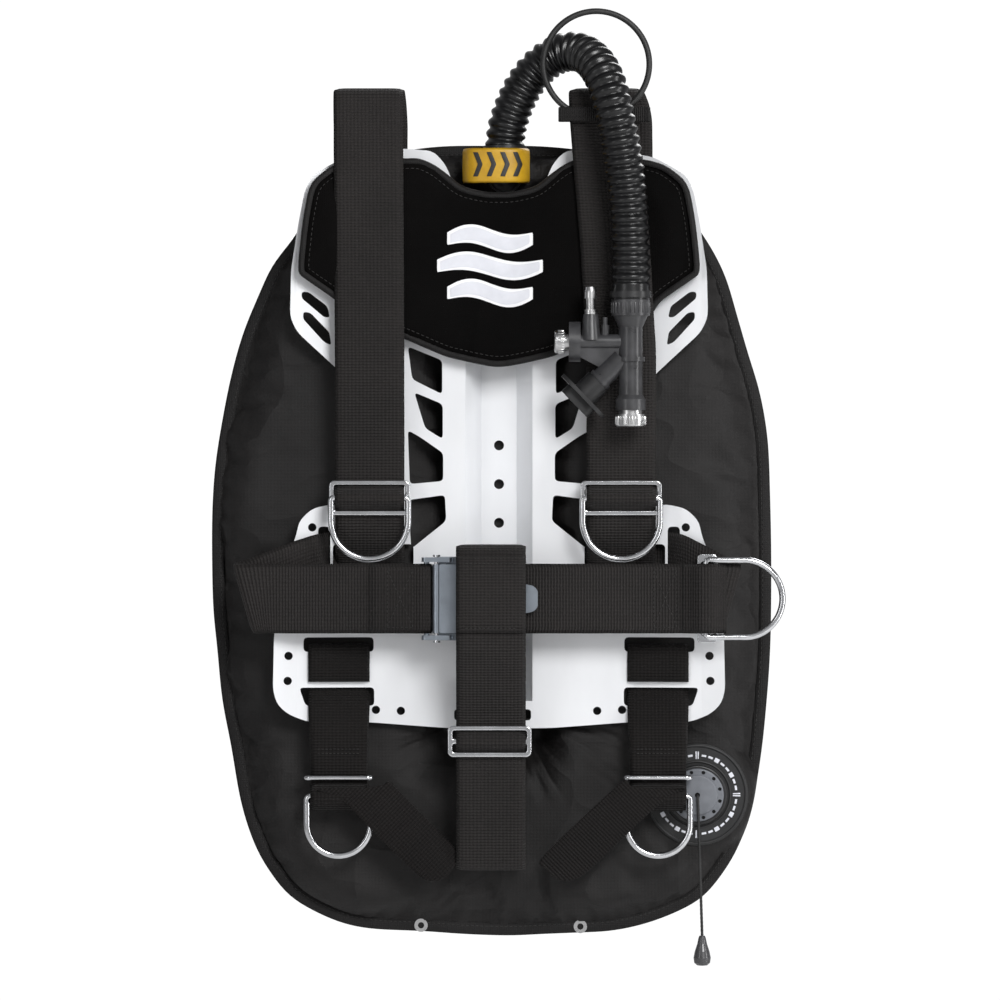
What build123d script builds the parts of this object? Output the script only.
from build123d import *
import math
import os

# Buoyancy compensator vest: pressed metal backplate, single-tank wing, webbing
# harness with stainless hardware, corrugated inflator hose and power inflator.
# Millimetres. +Z up, -Y towards the diver's chest (front), +X to the right.
# Origin: centre of the two tank-bolt holes, on the front face of the plate's channel floor.

# ---------------------------------------------------------------- driving dimensions
BOLT_PITCH = 279.4        # standard distance between the two tank bolts
BOLT_HOLE_R = 4.25        # tank-bolt hole radius
PLATE_T = 3.0             # plate thickness
CH_DEPTH = 22.0           # depth of the centre channel
CH_FLOOR = 12.5           # half width of the channel floor
CH_TOP = 23.5             # half width of the channel at the flats
BEND_1 = (95.0, 0.2126)   # first bend: distance from centre, slope of the shoulder panel
BEND_2 = (142.0, 0.364)   # second bend
WEB_W = 48.6              # harness webbing width
WEB_T = 2.5               # harness webbing thickness
WIRE_R = 2.25             # D-ring wire radius
BAR_R = 1.75              # triglide bar radius
HOSE_R = 14.0             # corrugated hose outer radius
HOSE_BORE = 11.4          # corrugated hose bore radius
Y_BELT = -50.0            # plane of the waist belt's front layer
Y_STRAP = -41.2           # plane of the shoulder straps over the back pad
Y_TRI = -36.0             # plane of the shoulder straps at the chest slides
SEAM_Y = 6.0              # plane in which the wing's two panels are sewn together
OPV = (139.3, -245.7)     # dump valve centre (x, z)
ELBOW = (4.0, 190.0)      # hose elbow port centre (x, z)

OUT = "parts"
os.makedirs(OUT, exist_ok=True)


# ---------------------------------------------------------------- helpers
def V(x, y, z):
    return Vector(x, y, z)


def one(shape):
    """Largest solid of a boolean result."""
    s = shape.solids()
    return s[0] if len(s) == 1 else max(s, key=lambda q: q.volume)


def slab(pts, y0, y1):
    """Prism along Y of a closed (x, z) polygon."""
    f = Face(Wire.make_polygon([V(x, y0, z) for x, z in pts]))
    return Solid.extrude(f, V(0, y1 - y0, 0))


def round_pts(pts, r):
    """Closed polygon with its corners rounded into short chords."""
    n = len(pts)
    out = []
    for i in range(n):
        p0, p1, p2 = pts[i - 1], pts[i], pts[(i + 1) % n]
        rr = r[i] if isinstance(r, (list, tuple)) else r
        ax, az = p0[0] - p1[0], p0[1] - p1[1]
        bx, bz = p2[0] - p1[0], p2[1] - p1[1]
        la, lb = math.hypot(ax, az), math.hypot(bx, bz)
        t = min(rr, 0.45 * la, 0.45 * lb)
        if t < 0.4:
            out.append(p1)
            continue
        a = (p1[0] + ax / la * t, p1[1] + az / la * t)
        b = (p1[0] + bx / lb * t, p1[1] + bz / lb * t)
        for k in range(4):
            u = k / 3
            out.append((
                (1 - u) ** 2 * a[0] + 2 * u * (1 - u) * p1[0] + u * u * b[0],
                (1 - u) ** 2 * a[1] + 2 * u * (1 - u) * p1[1] + u * u * b[1]))
    return out


def smooth_closed(pts, n):
    """Closed curve through the points, sampled at n equal steps of length."""
    m = len(pts)
    fine = []
    for i in range(m):
        p0, p1, p2, p3 = pts[i - 1], pts[i], pts[(i + 1) % m], pts[(i + 2) % m]
        for k in range(10):
            t = k / 10
            fine.append(tuple(
                0.5 * (2 * p1[j] + (p2[j] - p0[j]) * t
                       + (2 * p0[j] - 5 * p1[j] + 4 * p2[j] - p3[j]) * t * t
                       + (3 * p1[j] - p0[j] - 3 * p2[j] + p3[j]) * t ** 3) for j in (0, 1)))
    total = sum(math.dist(fine[i], fine[(i + 1) % len(fine)]) for i in range(len(fine)))
    out, want, run = [], 0.0, 0.0
    for i in range(len(fine)):
        a, b = fine[i], fine[(i + 1) % len(fine)]
        d = math.dist(a, b)
        while want <= run + d and len(out) < n:
            u = (want - run) / d if d else 0
            out.append((a[0] + (b[0] - a[0]) * u, a[1] + (b[1] - a[1]) * u))
            want += total / n
        run += d
    for _ in range(2):
        out = [((out[i - 1][0] + 2 * out[i][0] + out[(i + 1) % n][0]) / 4,
                (out[i - 1][1] + 2 * out[i][1] + out[(i + 1) % n][1]) / 4) for i in range(n)]
    return out


def inset(pts, d):
    """Closed polygon moved inwards by d, same number of points."""
    n = len(pts)
    area = sum(pts[i][0] * pts[(i + 1) % n][1] - pts[(i + 1) % n][0] * pts[i][1] for i in range(n))
    s = 1.0 if area > 0 else -1.0
    out = []
    for i in range(n):
        p0, p1, p2 = pts[i - 1], pts[i], pts[(i + 1) % n]
        e1 = (p1[0] - p0[0], p1[1] - p0[1])
        e2 = (p2[0] - p1[0], p2[1] - p1[1])
        l1, l2 = math.hypot(*e1), math.hypot(*e2)
        nx = -(e1[1] / l1 + e2[1] / l2) * s
        nz = (e1[0] / l1 + e2[0] / l2) * s
        ln = math.hypot(nx, nz)
        nx, nz = nx / ln, nz / ln
        c = max(0.6, nx * (-e1[1] / l1 * s) + nz * (e1[0] / l1 * s))
        out.append((p1[0] + nx * d / c, p1[1] + nz * d / c))
    return out


def stack(rings):
    """Ruled solid through closed polygons [(pts, y), ...]."""
    return Solid.make_loft([Wire.make_polygon([V(x, y, z) for x, z in p]) for p, y in rings], ruled=True)


def ribbon(stations, thick=WEB_T):
    """Flat webbing. A station is (centre, half-width vector); sides meet at the mitres."""
    c = [V(*s[0]) for s in stations]
    h = [V(*s[1]) for s in stations]
    n = len(c)
    seg = []
    for i in range(n - 1):
        d = (c[i + 1] - c[i]).normalized()
        w = (h[i] + h[i + 1]).normalized()
        seg.append(d.cross(w).normalized())
    wires = []
    for i in range(n):
        if i == 0:
            nv = seg[0] * (thick / 2)
        elif i == n - 1:
            nv = seg[-1] * (thick / 2)
        else:
            m = (seg[i - 1] + seg[i]).normalized()
            nv = m * (thick / 2 / max(0.5, m.dot(seg[i])))
        wires.append(Wire.make_polygon([c[i] + h[i] + nv, c[i] - h[i] + nv,
                                        c[i] - h[i] - nv, c[i] + h[i] - nv]))
    return Solid.make_loft(wires, ruled=True)


def strap_x(xc, yz, half=WEB_W / 2, thick=WEB_T):
    """Webbing whose width lies along X, through (y, z) points; sides meet at the mitres."""
    n = len(yz)
    d = [((yz[i + 1][0] - yz[i][0]), (yz[i + 1][1] - yz[i][1])) for i in range(n - 1)]
    d = [(a / math.hypot(a, b), b / math.hypot(a, b)) for a, b in d]
    one_side, other = [], []
    for i in range(n):
        e, f = d[max(i - 1, 0)], d[min(i, n - 2)]
        mx, my = -(e[1] + f[1]), e[0] + f[0]
        ln = math.hypot(mx, my)
        mx, my = mx / ln, my / ln
        k = thick / 2 / max(0.5, -mx * f[1] + my * f[0])
        one_side.append(V(xc - half, yz[i][0] + mx * k, yz[i][1] + my * k))
        other.append(V(xc - half, yz[i][0] - mx * k, yz[i][1] - my * k))
    return Solid.extrude(Face(Wire.make_polygon(one_side + other[::-1])), V(2 * half, 0, 0))


def tube(points, r, radii=None, bore=0.0):
    """Round bar along straight runs and tangent arcs."""
    pts = [V(*p) for p in points]
    if len(pts) == 2:
        path = Line(pts[0], pts[1])
    else:
        path = FilletPolyline(*pts, radius=radii)
    d = path % 0
    pl = Plane(origin=path @ 0, z_dir=d)
    sec = pl * Circle(r)
    s = sweep(sections=sec, path=path)
    if bore:
        s = s - sweep(sections=pl * Circle(bore), path=path)
    return s


def auto_radii(points, k=0.45):
    """As large an arc at each corner as its two runs allow."""
    out = []
    for i in range(1, len(points) - 1):
        a = V(*points[i]) - V(*points[i - 1])
        b = V(*points[i + 1]) - V(*points[i])
        turn = math.radians(a.get_angle(b))
        out.append(k * min(a.length, b.length) / math.tan(turn / 2))
    return out


def cyl(p, axis, r, length, bore=0.0):
    """Cylinder from point p along axis."""
    pl = Plane(origin=V(*p), z_dir=V(*axis))
    s = extrude(pl * Circle(r), length)
    if bore:
        s = s - extrude(pl * Circle(bore), length)
    return s


def cone(p, axis, r1, r2, length):
    pl = Plane(origin=V(*p), z_dir=V(*axis))
    return pl * Pos(0, 0, length / 2) * Cone(r1, r2, length)


def soften(shape, r, keep=lambda e: True):
    """Fillet what can be filleted."""
    try:
        return fillet([e for e in shape.edges() if keep(e)], r)
    except Exception:
        try:
            return chamfer([e for e in shape.edges() if keep(e)], r * 0.6)
        except Exception:
            return shape


def d_ring(half, depth, r, corner=7.0):
    """D-ring in its own plane: straight bar on the local X axis, bow towards local -Y."""
    arc_r = half
    legs = depth - arc_r
    pts = [(-half + corner, 0), (half - corner, 0)]
    with BuildLine() as ln:
        Line((-half + corner, 0), (half - corner, 0))
        CenterArc((half - corner, -corner), corner, 90, -90)
        if legs > corner + 0.5:
            Line((half, -corner), (half, -legs))
            CenterArc((0, -legs), arc_r, 0, -180)
            Line((-half, -legs), (-half, -corner))
        CenterArc((-half + corner, -corner), corner, 180, -90)
    path = ln.wire()
    sec = Plane(origin=path @ 0, z_dir=path % 0) * Circle(r)
    return sweep(sections=sec, path=path)


def triglide(width, bars, r):
    """Three-bar slide in the local XY plane: width along X, bars at the given local Y values."""
    top, bot = bars[0], bars[-1]
    hh = (top - bot) / 2
    body = RectangleRounded(width + 2 * r, 2 * hh + 2 * r, 4.0)
    w_in = width - 2 * r
    for a, b in zip(bars[:-1], bars[1:]):
        gap = (a - b) - 2 * r
        body -= Pos(0, (a + b) / 2 - (top + bot) / 2) * RectangleRounded(w_in, gap, min(1.6, gap * 0.3))
    s = Pos(0, (top + bot) / 2, -r) * extrude(body, 2 * r)
    return soften(s, r * 0.62)


written = []


def save(shape, node):
    """Write one node; groups stay separate solids."""
    sol = shape.solids() if hasattr(shape, "solids") else [shape]
    out = sol[0] if len(sol) == 1 else Compound(children=list(sol))
    export_step(out, f"{OUT}/{node}.step")
    written.append((node, len(sol), sum(s.volume for s in sol)))


# ---------------------------------------------------------------- backplate
def plate_front(x):
    """Y of the plate's front face outside the channel."""
    a = abs(x)
    y = -CH_DEPTH
    if a > BEND_1[0]:
        y -= (min(a, BEND_2[0]) - BEND_1[0]) * BEND_1[1]
    if a > BEND_2[0]:
        y -= (a - BEND_2[0]) * BEND_2[1]
    return y


def plate_profile(z0, z1, y_off=0.0, t=PLATE_T, channel=True):
    """Bent sheet section extruded along Z. y_off < 0 moves its back face to the front."""
    half = [(0.0, 0.0), (CH_FLOOR, 0.0), (CH_TOP, -CH_DEPTH)] if channel else [(0.0, -CH_DEPTH)]
    half += [(BEND_1[0], -CH_DEPTH), (BEND_2[0], plate_front(BEND_2[0])), (175.0, plate_front(175.0))]
    tt = [(0.0, t), (CH_FLOOR + t * 0.55, t), (CH_TOP + t * 0.62, -CH_DEPTH + t)] if channel else [(0.0, -CH_DEPTH + t)]
    tt += [(BEND_1[0] + t * 0.1, -CH_DEPTH + t), (BEND_2[0] + t * 0.28, plate_front(BEND_2[0]) + t * 1.02),
           (176.1, plate_front(175.0) + t * 1.06)]
    half = [(x, y + y_off) for x, y in half]
    tt = [(x, y + y_off) for x, y in tt]
    ring = half + tt[::-1] + [(-x, y) for x, y in tt if x > 0] + [(-x, y) for x, y in half[::-1] if x > 0]
    f = Face(Wire.make_polygon([V(x, y, z0) for x, y in ring]))
    return Solid.extrude(f, V(0, 0, z1 - z0))


def mirror_pts(pts):
    return [(-x, z) for x, z in pts][::-1]


# Left half of the plate's outline, from the centre of the top notch down to the centre of the bottom edge
LEFT_EDGE = [(0.0, 168.0), (-18.9, 168.7), (-30.8, 180.6), (-37.8, 197.4), (-46.2, 206.5), (-67.9, 208.2), (-107.8, 202.3), (-121.8, 194.6),
             (-131.6, 188.3), (-136.5, 177.1), (-141.4, 150.5), (-145.6, 122.5), (-146.3, 89.6), (-141.4, 79.1), (-113.4, 53.2), (-100.1, 39.9),
             (-88.9, 21.0), (-83.3, 3.5), (-80.5, -38.5), (-80.5, -65.1), (-88.9, -63.7), (-102.9, -44.8), (-116.2, -41.3), (-130.9, -44.4),
             (-140.0, -53.2), (-142.1, -63.7), (-150.5, -84.7), (-155.4, -108.5), (-157.5, -136.5), (-158.2, -171.5), (-155.4, -181.3), (-147.7, -188.6),
             (-134.4, -193.9), (-89.6, -194.6), (-37.1, -198.5), (0.0, -198.9)]
outline = LEFT_EDGE + [(-x, z) for x, z in LEFT_EDGE[::-1]][1:-1]
outline = round_pts(outline, 5.0)

backplate = plate_profile(-215, 225) & slab(outline, -70, 10)
backplate = one(backplate)

# The channel ends 19 mm above the bottom edge, in a flat cross strip with the crotch-strap slot
strip = Pos(0, -CH_DEPTH + PLATE_T / 2, -189.5) * Box(60, PLATE_T, 19.4)
strip = strip & slab(outline, -70, 10)
backplate = one(backplate - Pos(0, 0, -190.5) * Box(2 * (CH_TOP + 1.9), 60, 21.0))
wall = slab([(-CH_TOP - 1.6, -182.6), (CH_TOP + 1.6, -182.6), (CH_TOP + 1.6, -179.6), (-CH_TOP - 1.6, -179.6)], -CH_DEPTH, PLATE_T)
wall = wall & one(Solid.extrude(Face(Wire.make_polygon([
    V(-CH_FLOOR - 1.6, PLATE_T, -183), V(CH_FLOOR + 1.6, PLATE_T, -183),
    V(CH_TOP + 1.8, -CH_DEPTH, -183), V(-CH_TOP - 1.8, -CH_DEPTH, -183)])), V(0, 0, 4)))
backplate = one(backplate + strip + wall)

# Weight-saving windows, strap slots and the slanted slots of the shoulder panels
windows = [
    [(-64.0, 69.3), (-39.9, 59.5), (-39.9, 35.7), (-60.9, 46.2)],
    [(-59.5, 37.1), (-39.5, 28.7), (-39.5, 4.2), (-51.8, 11.9)],
    [(-64.0, 10.5), (-55.3, 5.6), (-39.2, -5.6), (-39.2, -25.2), (-62.6, -27.3)],
    [(-63.7, -38.5), (-38.0, -35.0), (-37.1, -53.2), (-61.6, -72.8)],
    [(-100.1, 45.5), (-72.1, 37.1), (-70.7, 14.7), (-80.5, 10.5), (-88.9, 28.7)],
    [(-75.6, 4.9), (-70.0, 6.3), (-69.3, -27.3), (-74.9, -28.7)],
]
flap_slots = [
    [(-138.3, 107.4), (-133.7, 107.4), (-120.4, 97.3), (-118.6, 89.6), (-122.5, 89.6), (-138.3, 102.9)],
    [(-137.2, 93.4), (-132.3, 92.8), (-119.0, 79.1), (-117.6, 70.0), (-122.5, 72.1), (-137.2, 88.2)],
]
strap_slots = [
    # shoulder webbing: top slot and lower slot
    [(-118.0, 173.6), (-57.0, 173.6), (-57.0, 190.8), (-118.0, 190.8)],
    [(-116.5, -69.5), (-60.0, -69.5), (-60.0, -85.5), (-116.5, -85.5)],
    # waist webbing
    [(-126.8, -57.2), (-118.3, -57.2), (-118.3, -112.4), (-126.8, -112.4)],
    # hip strap: upper and lower slot
    [(-137.0, -134.8), (-88.0, -134.8), (-88.0, -145.0), (-137.0, -145.0)],
    [(-140.0, -170.0), (-87.6, -170.0), (-87.6, -182.9), (-135.5, -182.9)],
]
cut = []
for poly, r in [(w, 3.0) for w in windows] + [(w, 2.0) for w in flap_slots] + [(w, 3.0) for w in strap_slots]:
    p = round_pts(poly, r)
    cut.append(slab(p, -70, 10))
    cut.append(slab(mirror_pts(p), -70, 10))
cut.append(slab(round_pts([(-31.5, -193.2), (22.5, -193.2), (22.5, -185.4), (-31.5, -185.4)], 2.5), -70, 10))

# Round holes: (x, z, r)
holes = [(0, BOLT_PITCH / 2, BOLT_HOLE_R), (0, -BOLT_PITCH / 2, BOLT_HOLE_R), (0, 0, 3.5), (0, -27.3, 3.5), (0, -54.6, 3.5)]
for p in [(-130.9, -57.7), (-147.4, -147.7), (-148.0, -165.2), (-86.4, -185.8), (-68.9, -186.5)]:
    holes += [(p[0], p[1], 2.9), (-p[0], p[1], 2.9)]
for x, z, r in holes:
    cut.append(cyl((x, -70, z), (0, 1, 0), r, 80))
for c in cut:
    backplate = backplate - c
backplate = one(backplate)
save(backplate, "backplate")

# ---------------------------------------------------------------- upper back pad
pad_left = [(-0.7, 176.8), (-9.1, 177.1), (-25.2, 181.1), (-35.8, 189.1), (-45.2, 195.9), (-56.0, 200.4), (-65.9, 200.5),
            (-90.3, 200.9), (-111.3, 197.4), (-123.9, 190.0), (-131.6, 181.3), (-135.4, 165.9), (-138.2, 146.3), (-140.0, 121.8),
            (-135.1, 116.2), (-113.4, 100.8), (-102.9, 88.9), (-66.5, 74.6), (-39.9, 63.3), (-29.1, 60.2), (-13.3, 56.7), (-0.7, 54.9)]
pad_out = pad_left + [(-x, z) for x, z in pad_left[::-1]][1:-1]
pad_out = round_pts(pad_out, 4.0)
PAD_BACK = -5.6
pad = plate_profile(40, 210, y_off=PAD_BACK - 7.8, t=7.8, channel=False) & slab(pad_out, -90, 10)
save(one(pad), "back_pad")

# ---------------------------------------------------------------- wing
WING_PX = [(-4.9, 211.4), (-41.3, 211.0), (-72.8, 206.5), (-104.3, 196.0), (-128.8, 174.3), (-143.0, 149.1), (-159.6, 127.4), (-169.4, 106.4),
           (-180.6, 79.1), (-189.0, 49.0), (-195.3, 17.5), (-200.2, -14.0), (-202.3, -45.5), (-202.5, -80.5), (-201.6, -115.5), (-198.8, -143.5),
           (-195.3, -179.2), (-189.0, -212.1), (-182.0, -252.0), (-172.2, -282.1), (-161.0, -301.7), (-147.7, -317.8), (-129.5, -329.0), (-109.2, -337.4),
           (-88.2, -341.2), (-55.3, -342.6), (-23.8, -344.8), (7.7, -345.8), (29.4, -344.8), (56.7, -343.7), (78.4, -342.6), (100.8, -338.1),
           (122.5, -330.4), (142.1, -319.9), (155.4, -305.2), (168.0, -284.9), (177.8, -257.6), (184.8, -219.1), (189.0, -179.2), (191.4, -143.5),
           (192.1, -108.5), (192.1, -73.5), (191.4, -38.5), (189.7, 3.5), (184.1, 37.1), (175.7, 65.1), (168.0, 91.7), (159.6, 119.7),
           (147.7, 142.8), (132.3, 164.5), (118.3, 182.7), (97.3, 197.4), (69.3, 206.5), (32.2, 211.0)]
WING = smooth_closed(WING_PX, 64)


def oval(d):
    """Centre web of the wing, where both panels are sewn together, grown by d."""
    hw, z0, z1, r = 28.0 + d, -212.0 - d, 176.0 + d, 20.0 + d
    out = []
    for cx, cz, a0 in ((hw - r, z1 - r, 0), (-hw + r, z1 - r, 90), (-hw + r, z0 + r, 180), (hw - r, z0 + r, 270)):
        for k in range(7):
            a = math.radians(a0 + 15 * k)
            out.append((cx + r * math.cos(a), cz + r * math.sin(a)))
    return out


def pillow(levels):
    """Ring-shaped bag between the wing's edge and its centre web. levels: (edge distance, y)."""
    outer = stack([(inset(WING, d), y) for d, y in levels])
    e = 0.02 if levels[-1][1] > levels[0][1] else -0.02
    hole = stack([(oval(d - 1.0), y + (0 if 0 < i < len(levels) - 1 else (-e if i == 0 else e)))
                  for i, (d, y) in enumerate(levels)])
    return outer - hole


FRONT = [(9.0, 6.0), (13.0, -1.0), (20.0, -6.5), (32.0, -11.0)]
FRONT_IN = [(10.2, 6.0), (14.2, 0.1), (20.9, -5.2), (32.6, -9.8)]
BACK = [(9.0, 6.0), (13.0, 14.0), (20.0, 21.0), (34.0, 28.0)]
BACK_IN = [(10.2, 6.0), (14.2, 13.0), (20.9, 19.8), (34.5, 26.8)]

flange = slab(inset(WING, 1.0), 5.0, 6.0)
front = pillow(FRONT) + flange
front_in = pillow(FRONT_IN)
# flat seats under the hose elbow and the dump valve
edge_in = slab(inset(WING, 9.6), -20, 10)
edge_in2 = slab(inset(WING, 10.8), -20, 10)
front = front + (cyl((ELBOW[0], -5.0, ELBOW[1]), (0, 1, 0), 17, 11) & edge_in)
front_in = front_in + (cyl((ELBOW[0], -3.8, ELBOW[1]), (0, 1, 0), 15.8, 9.8) & edge_in2)
front = front + (cyl((OPV[0], -11.0, OPV[1]), (0, 1, 0), 37.5, 17) & edge_in)
front_in = front_in + (cyl((OPV[0], -9.8, OPV[1]), (0, 1, 0), 36.3, 15.8) & edge_in2)
front = front - front_in
front = front - cyl((ELBOW[0], -10, ELBOW[1]), (0, 1, 0), 9.0, 10)
front = front - cyl((OPV[0], -15, OPV[1]), (0, 1, 0), 15.2, 14)
bolt_cut = cyl((0, -20, BOLT_PITCH / 2), (0, 1, 0), 6.05, 60) + cyl((0, -20, -BOLT_PITCH / 2), (0, 1, 0), 6.05, 60)
GROMMETS = [(-55.0, -338.5), (57.4, -339.4)]
grom_cut = cyl((GROMMETS[0][0], -20, GROMMETS[0][1]), (0, 1, 0), 3.05, 60) + cyl((GROMMETS[1][0], -20, GROMMETS[1][1]), (0, 1, 0), 3.05, 60)
front = one(front - bolt_cut - grom_cut)
save(front, "wing_front_panel")

back = pillow(BACK) + slab(inset(WING, 1.0), 6.0, 7.0)
back = back - pillow(BACK_IN)
back = one(back - bolt_cut - grom_cut)
save(back, "wing_back_panel")

binding = slab(WING, 4.2, 7.8) - slab(inset(WING, 8.6), 0, 12) - slab(inset(WING, 1.0), 5.0, 7.0)
binding = one(binding - grom_cut)
save(binding, "wing_binding_tape")

BL = [(34.6, -5.0), (22.6, -1.6), (15.8, 2.4), (12.4, 6.0), (15.8, 11.8), (22.6, 18.4), (36.4, 25.2)]
BLI = [(35.2, -4.2), (23.6, -0.9), (16.7, 2.9), (13.2, 6.0), (16.7, 11.3), (23.6, 17.7), (37.2, 24.4)]


def ring_bag(levels):
    outer = stack([(inset(WING, d), y) for d, y in levels])
    hole = stack([(oval(d - 1.0), y + (0 if 0 < i < len(levels) - 1 else (-0.02 if i == 0 else 0.02)))
                  for i, (d, y) in enumerate(levels)])
    return outer - hole


bladder = one(ring_bag(BL)) - ring_bag(BLI)
# the dump valve opens into the bladder through its front wall
bladder = one(bladder - cyl((OPV[0], -12, OPV[1]), (0, 1, 0), 13.0, 10))
save(bladder, "wing_bladder")

# eyelets through the centre web for the tank bolts, and at the wing's bottom edge
eyelets = []
for sz in (1, -1):
    z = sz * BOLT_PITCH / 2
    e = cyl((0, 3.6, z), (0, 1, 0), 6.0, 4.8, 5.0) + cyl((0, 3.6, z), (0, 1, 0), 9.0, 1.4, 5.0) + cyl((0, 7.0, z), (0, 1, 0), 9.0, 1.4, 5.0)
    eyelets.append(one(e))
save(Compound(children=eyelets), "bolt_eyelets")
edge_eyelets = []
for gx, gz in GROMMETS:
    e = (cyl((gx, 3.4, gz), (0, 1, 0), 3.0, 5.2, 2.2) + cyl((gx, 3.4, gz), (0, 1, 0), 4.7, 0.8, 2.2)
         + cyl((gx, 7.8, gz), (0, 1, 0), 4.7, 0.8, 2.2))
    edge_eyelets.append(one(e))
save(Compound(children=edge_eyelets), "edge_eyelets")

# ---------------------------------------------------------------- shoulder webbing and waist belt
def shoulder(xb, xt, tri_z):
    """Webbing from the plate's top slot, over the shoulder loop and down to the lower slot."""
    s = 1 if xb > 0 else -1
    hw = WEB_W / 2
    sl = 0.094 if s < 0 else -0.06         # width follows the bent shoulder panel
    yf = -25.6 if s < 0 else -25.0
    flat = (hw, 0, 0)
    tilt = (hw, hw * sl, 0)
    xr = xb - 2.0 * s
    pts = [((xr, yf, 150), tilt), ((xr, yf, 176), tilt), ((xr, -16.8, 189), tilt), ((xr, -16.8, 212), tilt),
           ((xr, -16.6, 228), flat), ((xr - 0.2 * (xr - xt), -18.5, 239), flat), ((xr - 0.5 * (xr - xt), -24, 246.5), flat),
           ((xr - 0.7 * (xr - xt), -31, 249.2), flat), ((xt, -37.2, 247.6), flat), ((xt, Y_STRAP, 243.2), flat),
           ((xt + 0.06 * (xb - xt), Y_STRAP, 226), flat), ((xb + 0.35 * (xt - xb), Y_STRAP, 140), flat),
           ((xb, Y_STRAP, 66), flat), ((xb, Y_TRI, 6), flat),
           ((xb, Y_TRI, tri_z + 8.2), flat), ((xb, Y_TRI - 11.4, tri_z + 2.2), flat),
           ((xb, Y_TRI - 11.4, tri_z - 2.2), flat), ((xb, Y_TRI, tri_z - 8.2), flat),
           ((xb, -35.0, -56), flat), ((xb, -30.0, -68), flat), ((xb, -16.9, -84.5), flat), ((xb, -16.9, -104), flat)]
    return ribbon(pts)


BZ = -107.3                               # height of the waist belt's centre line
UP = (0, 0, WEB_W / 2)
XL, XR = -90.5, 85.5                      # chest slides
TRI_Z = -37.0
BUCKLE_BAR = (-50.5, Y_BELT)
BUCKLE_PIN = (-43.5, Y_BELT - 5.2)

left_sh = shoulder(XL, -91.5, TRI_Z)
belt_l = ribbon([((-92.0, -16.9, -84.7), UP), ((-115.5, -16.9, -84.7), UP), ((-129.5, -34.8, -87.0), UP),
                 ((-144.0, -40.6, -92.5), (-1.5, 0, 24.3)), ((-160.0, -43.6, -99.3), (-3.5, 0, 24.1)),
                 ((-174.2, -44.5, -105.6), (-6.6, 0, 23.8)), ((-178.2, -46.0, -107.0), (-7.0, 0, 24.2)),
                 ((-178.2, -48.5, -107.3), (-7.0, 0, 24.3)), ((-174.4, Y_BELT, BZ), (-6.4, 0, 24.3)),
                 ((-158.0, Y_BELT, BZ), UP), ((BUCKLE_BAR[0] - 3.4, Y_BELT, BZ), UP)])
eye = cyl((BUCKLE_BAR[0], Y_BELT, BZ - WEB_W / 2), (0, 0, 1), 4.8, WEB_W, 2.3)
belt_l = (belt_l - cyl((BUCKLE_BAR[0], Y_BELT, BZ - 30), (0, 0, 1), 2.3, 60)) + eye
patch_l = Pos(-103.0, -16.9, -84.7) * Box(26.0, WEB_T, WEB_W)
save(one(left_sh + belt_l + patch_l), "harness_webbing_left")

right_sh = shoulder(XR, 73.0, TRI_Z)
belt_r = ribbon([((88.0, -16.9, -84.7), UP), ((115.5, -16.9, -84.7), UP), ((129.5, -34.8, -87.0), UP),
                 ((142.5, -40.6, -94.5), (1.5, 0, 24.3)), ((151.0, -43.2, -100.5), (4.5, 0, 24.1)),
                 ((158.2, -44.5, -105.6), (6.8, 0, 23.8)), ((162.2, -46.0, -107.0), (7.0, 0, 24.2)),
                 ((162.2, -48.5, -107.3), (7.0, 0, 24.3)), ((158.6, Y_BELT, BZ), (5.8, 0, 24.3)),
                 ((146.0, Y_BELT, BZ), UP), ((-37.0, Y_BELT, BZ), UP)])
WR = (144.5, Y_BELT - 1.25 - 0.2 - WIRE_R)  # waist D-ring's bar (x, y)
sleeve = ribbon([((129.0, Y_BELT - 0.4, BZ), UP), ((140.6, WR[1] - 3.75, BZ), UP),
                 ((148.4, WR[1] - 3.75, BZ), UP), ((157.5, Y_BELT - 0.6, BZ), UP)])
patch_r = Pos(100.0, -16.9, -84.7) * Box(24.0, WEB_T, WEB_W)
save(one(right_sh + belt_r + sleeve + patch_r), "harness_webbing_right")

# ---------------------------------------------------------------- chest slides and D-rings
for side, xc in (("left", XL), ("right", XR)):
    t = triglide(53.4, (10.5, 0.0, -10.5), BAR_R)
    t = Plane(origin=(xc, Y_TRI - 3.3, TRI_Z), x_dir=(1, 0, 0), z_dir=(0, -1, 0)) * t
    save(one(t), f"chest_slide_{side}")
    r = d_ring(27.0, 42.75, WIRE_R, 2.6)
    r = Plane(origin=(xc, Y_TRI - 7.6, TRI_Z), x_dir=(1, 0, 0), z_dir=(0, -1, 0)) * r
    save(one(r), f"chest_d_ring_{side}")

# ---------------------------------------------------------------- waist D-ring
r = d_ring(26.9, 53.2, WIRE_R, 2.6)
r = Plane(origin=(WR[0], WR[1], BZ), x_dir=(0, 0, 1), z_dir=(0, -1, 0)) * r
save(one(r), "waist_d_ring")
keeper = RectangleRounded(14.0, 62.0, 3.0) - RectangleRounded(8.6, 51.5, 2.0)
keeper = Plane(origin=(WR[0] + 1.0, Y_BELT + 1.5, BZ), x_dir=(1, 0, 0), z_dir=(0, 1, 0)) * extrude(keeper, 2.4)
save(one(soften(keeper, 0.6)), "waist_d_ring_keeper")

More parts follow.
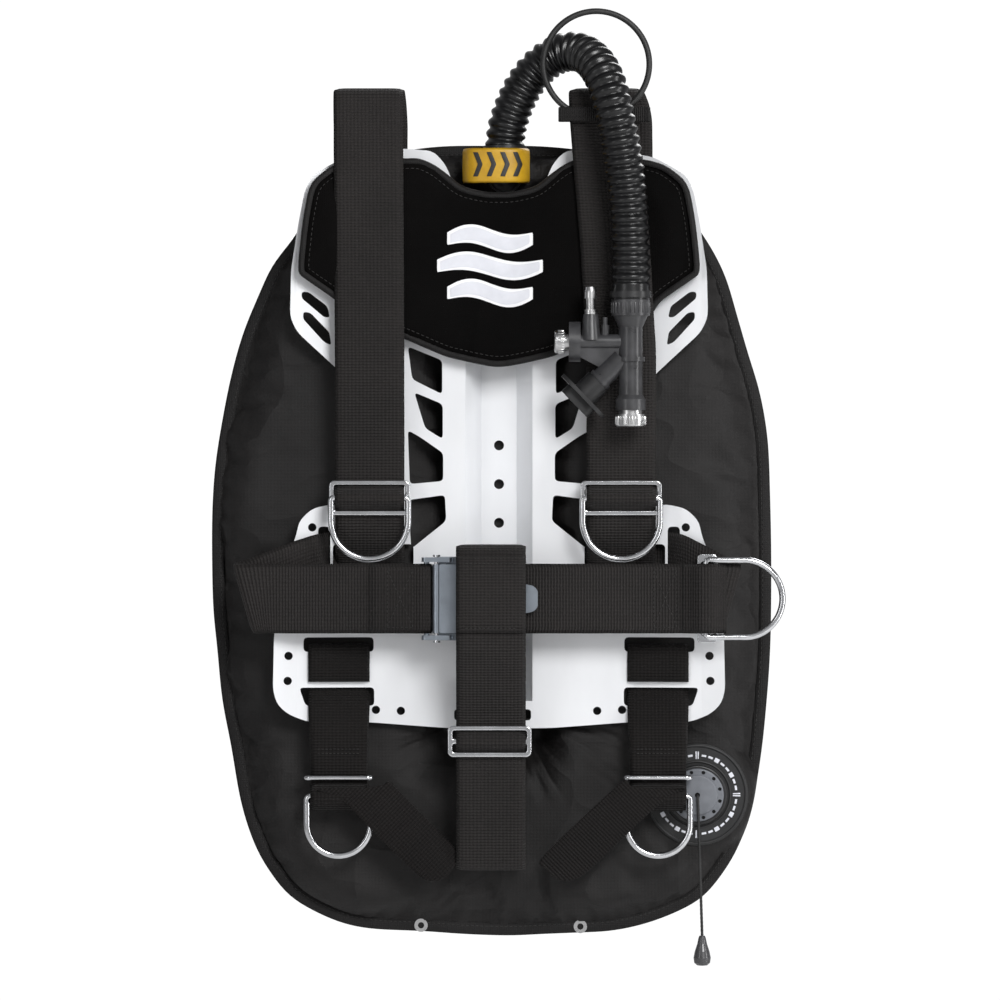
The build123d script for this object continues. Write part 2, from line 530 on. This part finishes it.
# ---------------------------------------------------------------- belt buckle
floor_p = Pos(-16.2, Y_BELT + 3.3, BZ) * Box(56.4, 1.4, 58.4)
floor_p = soften(floor_p, 4.0, lambda e: abs(e.length - 1.4) < 0.01)
bf = floor_p
for s in (1, -1):
    ear = Pos(-43.0, Y_BELT - 2.2, BZ + s * 27.2) * Box(22.0, 12.4, 3.2)
    ear = soften(ear, 3.0, lambda e: abs(e.length - 3.2) < 0.01)
    bf = bf + ear
bf = bf + cyl((BUCKLE_BAR[0], Y_BELT, BZ - 28.0), (0, 0, 1), 2.0, 56.0)
bf = bf - cyl((BUCKLE_PIN[0], BUCKLE_PIN[1], BZ - 40), (0, 0, 1), 1.55, 80)
bf = bf - (Pos(-35.0, Y_BELT + 3.3, BZ) * Box(6.0, 4.0, 44.0))
save(one(bf), "buckle_frame")
pin = cyl((BUCKLE_PIN[0], BUCKLE_PIN[1], BZ - 29.4), (0, 0, 1), 1.5, 58.8)
pin = pin + cyl((BUCKLE_PIN[0], BUCKLE_PIN[1], BZ - 30.6), (0, 0, 1), 2.6, 1.4) + cyl((BUCKLE_PIN[0], BUCKLE_PIN[1], BZ + 29.2), (0, 0, 1), 2.6, 1.4)
save(one(pin), "buckle_pin")
lev_pts = round_pts([(-43.5, -24.0), (-43.5, 24.0), (-8.0, 24.0), (4.0, 13.0), (24.0, 9.0), (27.0, 6.0), (27.0, -6.0),
                     (24.0, -9.0), (4.0, -13.0), (-8.0, -24.0)], 4.0)
lev = slab([(x, z + BZ) for x, z in lev_pts], BUCKLE_PIN[1] - 2.4, BUCKLE_PIN[1] - 0.6)
lev = lev + cyl((BUCKLE_PIN[0], BUCKLE_PIN[1], BZ - 24.0), (0, 0, 1), 3.0, 48.0)
lev = lev - cyl((BUCKLE_PIN[0], BUCKLE_PIN[1], BZ - 30), (0, 0, 1), 1.56, 60)
save(one(lev), "buckle_lever")

# ---------------------------------------------------------------- crotch strap
CX = -5.6
CT = (-50.0, -207.0)                       # crotch slide: bar plane y, centre z
crotch = strap_x(CX, [(-24.4, -164), (-24.4, -185), (-16.6, -193.5), (-16.6, -206), (-24, -228), (-27, -284),
                      (-30.5, -294.5), (-36.5, -297.5), (-42, -291), (-44.6, -270), (-46.2, -228), (-46.2, -214.2),
                      (-53.4, -209.2), (-53.4, -204.8), (-46.2, -199.8), (-47.4, -190), (-71, -141), (-71, -82),
                      (-68.5, -74.5), (-62, -70.6), (-52, -70.8), (-45.6, -73.6), (-43.4, -79.5), (-43.4, -136),
                      (-42.8, -190), (-42.8, -221)])
save(one(crotch), "crotch_strap")
t = triglide(55.2, (9.2, 0.0, -9.2), BAR_R)
t = Plane(origin=(CX - 1.0, CT[0], CT[1]), x_dir=(1, 0, 0), z_dir=(0, -1, 0)) * t
save(one(t), "crotch_slide")

# ---------------------------------------------------------------- hip straps
HIP_L = [(-128.1, -240.8), (-91.0, -239.7), (-78.4, -236.5), (-74.9, -237.6), (-30.8, -282.1), (-29.4, -288.4), (-32.2, -296.8), (-40.6, -304.5),
         (-49.7, -304.8), (-55.3, -302.0), (-83.3, -275.1), (-109.2, -249.2)]
HIP_R = [(132.3, -240.1), (123.9, -243.6), (108.1, -254.8), (72.1, -289.1), (58.1, -301.3), (48.3, -305.2), (38.5, -302.4), (32.2, -295.4),
         (31.0, -287.7), (85.4, -236.3), (91.7, -238.7), (112.7, -240.1)]
HIP_BAR = (-34.8, -246.0)                  # D-ring bar (y, z)
for side, xc, poly, s in (("left", -112.2, HIP_L, -1), ("right", 111.4, HIP_R, 1)):
    a = (21.4, -s * 4.3, 0)
    b = (21.0, -s * 2.0, 0)
    c = (19.8, 0, 0)
    st = [((xc, -28, -166), a), ((xc, -28, -144.5), a), ((xc, -24.3, -138.8), a), ((xc, -20.6, -144.5), a),
          ((xc, -20.6, -172), a), ((xc, -28, -182), a), ((xc, -30.4, -200), b), ((xc, -31, -226), c), ((xc, -31, -256), c)]
    strap = ribbon(st)
    fr = ribbon([((xc, -31.2, -237.4), c), ((xc, -38.6, -243.6), c), ((xc, -38.6, -248.6), c), ((xc, -31.4, -255.6), c)])
    diag = slab(round_pts(poly, 3.0), -39.85, -37.35)
    save(one(strap + fr + diag), f"hip_strap_{side}")
    path_pts = [(22.85, 4.2), (-22.85, 4.2), (-22.85, -4.2), (22.85, -4.2)]
    with BuildLine() as ln:
        rc = 3.0
        Line((-22.85 + rc, 4.2), (22.85 - rc, 4.2))
        CenterArc((22.85 - rc, 4.2 - rc), rc, 90, -90)
        Line((22.85, 4.2 - rc), (22.85, -4.2 + rc))
        CenterArc((22.85 - rc, -4.2 + rc), rc, 0, -90)
        Line((22.85 - rc, -4.2), (-22.85 + rc, -4.2))
        CenterArc((-22.85 + rc, -4.2 + rc), rc, 270, -90)
        Line((-22.85, -4.2 + rc), (-22.85, 4.2 - rc))
        CenterArc((-22.85 + rc, 4.2 - rc), rc, 180, -90)
    pth = ln.wire()
    loop = sweep(sections=Plane(origin=pth @ 0, z_dir=pth % 0) * Circle(1.85), path=pth)
    loop = Plane(origin=(xc, -31.0, -233.0), x_dir=(1, 0, 0), z_dir=(0, 0, 1)) * loop
    save(one(loop), f"hip_strap_loop_{side}")
    r = d_ring(22.3, 41.5, WIRE_R, 2.6)
    r = Plane(origin=(xc, HIP_BAR[0], HIP_BAR[1]), x_dir=(1, 0, 0), z_dir=(0, -1, 0)) * r
    save(one(r), f"hip_d_ring_{side}")

# ---------------------------------------------------------------- bungee ring and its keeper on the right strap
ring = Plane(origin=(68.0, -44.8, 266.0), x_dir=(1, 0, 0), z_dir=(0, 1, 0)) * Torus(37.0, 2.1)
save(ring, "bungee_ring")
kp = Pos(73.6, -43.5, 230.9) * (Box(64.2, 11.0, 10.0) - Box(61.6, 8.4, 20.0))
save(one(soften(kp, 1.2, lambda e: abs(e.length - 10.0) < 0.01)), "strap_keeper")

# ---------------------------------------------------------------- corrugated hose
HOSE = [(4.0, -20.0, 204.0), (4.0, -20.0, 218.0), (9.5, -20.2, 236.5), (17.5, -20.8, 253.0), (28.5, -22.5, 266.5),
        (43.0, -26.0, 275.5), (57.0, -34.0, 276.0), (67.0, -48.0, 268.0), (74.5, -60.0, 254.0), (79.5, -64.5, 235.5),
        (84.0, -64.0, 214.0), (87.5, -62.0, 192.0), (90.3, -59.8, 167.0), (91.5, -58.2, 141.0), (91.7, -57.4, 121.0),
        (91.7, -57.4, 101.0)]
hr = auto_radii(HOSE)
print("hose radii", [round(v) for v in hr])
hose = tube(HOSE, HOSE_R, hr, HOSE_BORE)
hl = FilletPolyline(*[V(*p) for p in HOSE], radius=hr).length
print("hose length %.1f, volume ratio %.4f" % (hl, hose.volume / (math.pi * (HOSE_R ** 2 - HOSE_BORE ** 2) * hl)))
save(one(hose), "corrugated_hose")
hd = (V(*HOSE[1]) - V(*HOSE[0])).normalized()
c0 = V(*HOSE[0]) + hd * 1.4
save(one(cyl((c0.X, c0.Y, c0.Z), (hd.X, hd.Y, hd.Z), HOSE_R + 1.5, 4.6, HOSE_R + 0.05)), "hose_tie_upper")
save(one(cyl((91.7, -57.4, 102.4), (0, 0, 1), HOSE_R + 0.7, 4.4, HOSE_R + 0.05)), "hose_tie_lower")

# elbow on the wing: flange, bend and spigot up to the hose's end face
EX, EZ = ELBOW
elbow = tube([(EX, -7.0, EZ), (EX, -20.0, EZ), (EX, -20.0, 203.0)], 11.6, [12.4]) + cyl((EX, -8.2, EZ), (0, 1, 0), 12.6, 2.9)
elbow = elbow + cyl((EX, -5.8, EZ), (0, 1, 0), 8.7, 2.7) + cyl((EX, -20.0, 200.4), (0, 0, 1), 13.0, 3.6)
elbow = elbow - tube([(EX, -1.0, EZ), (EX, -20.0, EZ), (EX, -20.0, 206.0)], 8.0, [12.4])
save(one(elbow), "hose_elbow")

# cover flap around the elbow
tag = ribbon([((-25.0, -9.0, 195.8), (0, 0, 12.0)), ((-25.0, -23.0, 195.8), (0, 0, 12.0)), ((-20.0, -32.5, 195.8), (0, 0, 12.2)),
              ((-9.0, -36.4, 195.8), (0, 0, 12.2)), ((8.0, -36.4, 195.8), (0, 0, 12.2)), ((16.5, -32.5, 195.8), (0, 0, 12.2)),
              ((21.0, -23.0, 195.8), (0, 0, 12.0)), ((21.0, -9.0, 195.8), (0, 0, 12.0))], 1.2)
save(one(tag), "elbow_cover")

# ---------------------------------------------------------------- power inflator
IX, IY = 91.7, -57.4
BZI = 71.8                                  # axis height of the inflate branch
MD = (-0.72, 0.0, -0.694)                   # mouthpiece direction
MC = (57.6, IY, 33.0)                       # centre of the mouthpiece flange
body = cyl((IX, IY, 32.0), (0, 0, 1), 8.4, 62.0)
body = body + cyl((IX, IY, 90.0), (0, 0, 1), 13.4, 11.0) + cyl((IX, IY, 100.0), (0, 0, 1), 11.2, 7.0)
body = body + cone((IX, IY, 82.0), (0, 0, 1), 8.6, 12.0, 8.0)
body = body + cyl((IX, IY, 58.0), (0, 0, 1), 9.9, 3.2) + cyl((IX, IY, 24.0), (0, 0, 1), 10.5, 7.6)
body = body + cone((IX, IY, 31.6), (0, 0, 1), 10.4, 8.6, 3.0)
body = body + cyl((55.0, IY, BZI), (1, 0, 0), 5.2, 34.0) + cyl((48.7, IY, BZI), (1, 0, 0), 14.0, 8.0)
body = body + cone((63.9, IY, 73.0), (0, 0, 1), 7.2, 5.2, 18.0)
body = body + cyl((73.9, IY, 74.0), (0, 0, 1), 2.9, 9.4) + cyl((73.9, IY, 83.0), (0, 0, 1), 1.8, 5.8)
gus = [(56.7, 67.9), (84.7, 67.9), (84.7, 49.7), (74.9, 51.4), (56.7, 60.9)]
body = body + slab(gus, IY - 2.4, IY + 2.4)
body = body + cyl((MC[0] - MD[0] * 39.0, IY, MC[2] - MD[2] * 39.0), MD, 7.4, 27.0)
body = body + cyl((MC[0] - MD[0] * 19.5, IY, MC[2] - MD[2] * 19.5), MD, 8.4, 3.0)
body = body - cyl((IX, IY, 34.0), (0, 0, 1), 6.3, 80.0) - cyl((IX, IY, 20.0), (0, 0, 1), 8.55, 11.3) - cyl((IX, IY, 30.0), (0, 0, 1), 3.0, 6.0)
body = body - cyl((45.0, IY, BZI), (1, 0, 0), 6.3, 11.2) - cyl((54.0, IY, BZI), (1, 0, 0), 2.2, 34.0)
body = body - cyl((MC[0] - MD[0] * 39.0, IY, MC[2] - MD[2] * 39.0), MD, 5.4, 36.0)
body = body - cyl((63.9, IY, BZI), (0, 0, 1), 2.2, 22.0)
save(one(body), "inflator_body")
nip = cyl((63.9, IY, 91.0), (0, 0, 1), 4.6, 3.2, 2.0) + cyl((63.9, IY, 94.0), (0, 0, 1), 3.4, 9.0, 2.0) \
    + cyl((63.9, IY, 102.0), (0, 0, 1), 4.4, 5.0, 2.0) + cone((63.9, IY, 107.0), (0, 0, 1), 4.4, 3.4, 3.0)
nip = nip - cyl((63.9, IY, 90.0), (0, 0, 1), 2.0, 24.0)
save(one(nip), "quick_disconnect_nipple")
ib = cyl((38.5, IY, BZI), (1, 0, 0), 8.0, 7.5)
ib = soften(ib, 1.4, lambda e: e.center().X < 38.6)
ib = ib + cyl((45.5, IY, BZI), (1, 0, 0), 6.1, 7.4)
ib = ib - cyl((41.5, IY, BZI), (1, 0, 0), 4.3, 14.0)
save(one(ib), "inflate_button")
db = cyl((IX, IY, 12.6), (0, 0, 1), 10.5, 8.7)
db = soften(db, 1.5, lambda e: e.center().Z < 12.7)
db = db + cyl((IX, IY, 21.0), (0, 0, 1), 8.35, 8.0)
db = db - cyl((IX, IY, 16.0), (0, 0, 1), 5.6, 16.0)
save(one(db), "deflate_button")


def coil(p, axis, r, wire, length, turns):
    """Compression spring standing on point p."""
    h = Helix(pitch=(length - 2.2 * wire) / turns, height=length - 2.2 * wire, radius=r)
    sec = Plane(origin=h @ 0, z_dir=h % 0) * Circle(wire)
    s = sweep(sections=sec, path=h)
    return Plane(origin=V(*p), z_dir=V(*axis)) * Pos(0, 0, 1.1 * wire) * s


save(one(coil((41.7, IY, BZI), (1, 0, 0), 3.3, 0.45, 14.2, 5)), "inflate_spring")
save(one(coil((IX, IY, 16.2), (0, 0, 1), 4.5, 0.45, 14.8, 5)), "deflate_spring")

mp_o = (MC[0] - MD[0] * 16.0, IY, MC[2] - MD[2] * 16.0)
mp_pl = Plane(origin=V(*MC), x_dir=(0.694, 0, -0.72), z_dir=V(-MD[0], 0, -MD[2]))
oval_s = SlotOverall(41.0, 25.0)
mp = extrude(mp_pl * oval_s, 2.6) + extrude(mp_pl * Circle(9.4), 16.2)
mp = mp + extrude(Plane(origin=V(MC[0] + MD[0] * 7.0, IY, MC[2] + MD[2] * 7.0), x_dir=(0.694, 0, -0.72), z_dir=V(-MD[0], 0, -MD[2])) * SlotOverall(26.0, 12.0), 8.0)
mp = mp - extrude(Plane(origin=V(MC[0] + MD[0] * 9.0, IY, MC[2] + MD[2] * 9.0), x_dir=(0.694, 0, -0.72), z_dir=V(-MD[0], 0, -MD[2])) * SlotOverall(18.0, 6.0), 14.0)
mp = mp - cyl((MC[0] - MD[0] * 3.0, IY, MC[2] - MD[2] * 3.0), (-MD[0], 0, -MD[2]), 7.45, 16.0)
mp = mp - cyl((MC[0] - MD[0] * 16.15, IY, MC[2] - MD[2] * 16.15), (-MD[0], 0, -MD[2]), 12.0, 4.0)
save(one(mp), "mouthpiece")

# ---------------------------------------------------------------- dump valve
OX, OZ = OPV
fl = cyl((OX, -12.4, OZ), (0, 1, 0), 36.0, 1.35, 19.0)
save(one(soften(fl, 0.5, lambda e: e.center().Y < -12.3)), "dump_valve_flange")
vb = cyl((OX, -17.4, OZ), (0, 1, 0), 21.0, 4.95, 11.6)
vb = soften(vb, 1.5, lambda e: e.center().Y < -17.3 and e.length > 100)
vb = vb + cyl((OX, -13.0, OZ), (0, 1, 0), 15.0, 7.2, 11.6) + cyl((OX, -7.0, OZ), (0, 1, 0), 15.0, 1.2, 8.6)
save(one(vb), "dump_valve_body")
vn = cyl((OX, -9.6, OZ), (0, 1, 0), 20.0, 2.4, 15.05)
save(one(vn), "dump_valve_nut")
cap = cyl((OX, -20.4, OZ), (0, 1, 0), 18.6, 2.95)
cap = soften(cap, 1.2, lambda e: e.center().Y < -20.3)
cap = cap + soften(cyl((OX, -22.0, OZ), (0, 1, 0), 14.0, 2.4), 0.9, lambda e: e.center().Y < -21.9)
for k in range(12):
    a = math.radians(30 * k + 15)
    cap = cap - cyl((OX + 16.3 * math.cos(a), -24, OZ + 16.3 * math.sin(a)), (0, 1, 0), 1.3, 8)
cap = cap - cyl((OX, -24, OZ), (0, 1, 0), 1.8, 8)
save(one(cap), "dump_valve_cap")
pop = cyl((OX, -8.9, OZ), (0, 1, 0), 10.8, 1.7) + cyl((OX, -13.0, OZ), (0, 1, 0), 1.5, 4.4)
save(one(pop), "dump_valve_poppet")
save(one(coil((OX, -17.2, OZ), (0, 1, 0), 6.5, 0.45, 8.1, 3)), "dump_valve_spring")
CORD = [(OX, -22.6, OZ), (OX + 0.05, -24.4, OZ - 1.2), (OX + 0.3, -25.0, OZ - 7.0), (OX + 3.2, -24.2, -344.0)]
cr = auto_radii(CORD)
print("cord radii", [round(v, 1) for v in cr])
cord = tube(CORD, 1.0, cr)
cl = FilletPolyline(*[V(*p) for p in CORD], radius=cr).length
print("cord length %.1f, volume ratio %.4f" % (cl, cord.volume / (math.pi * cl)))
save(one(cord), "pull_cord")
KX = CORD[-1][0]
prof = [(0.0, -344.0), (1.9, -344.0), (2.6, -345.5), (3.4, -349.5), (5.2, -355.0), (6.1, -359.5), (5.6, -363.0), (3.6, -364.8), (0.0, -365.2)]
prof = [(a, b - 0.12) for a, b in prof]
kf = Face(Wire.make_polygon([V(KX + a, CORD[-1][1], b) for a, b in prof]))
knob = revolve(kf, axis=Axis((KX, CORD[-1][1], 0), (0, 0, 1)))
save(one(knob), "pull_knob")

for n, k, v in written:
    print("%-28s %d %.0f" % (n, k, v))
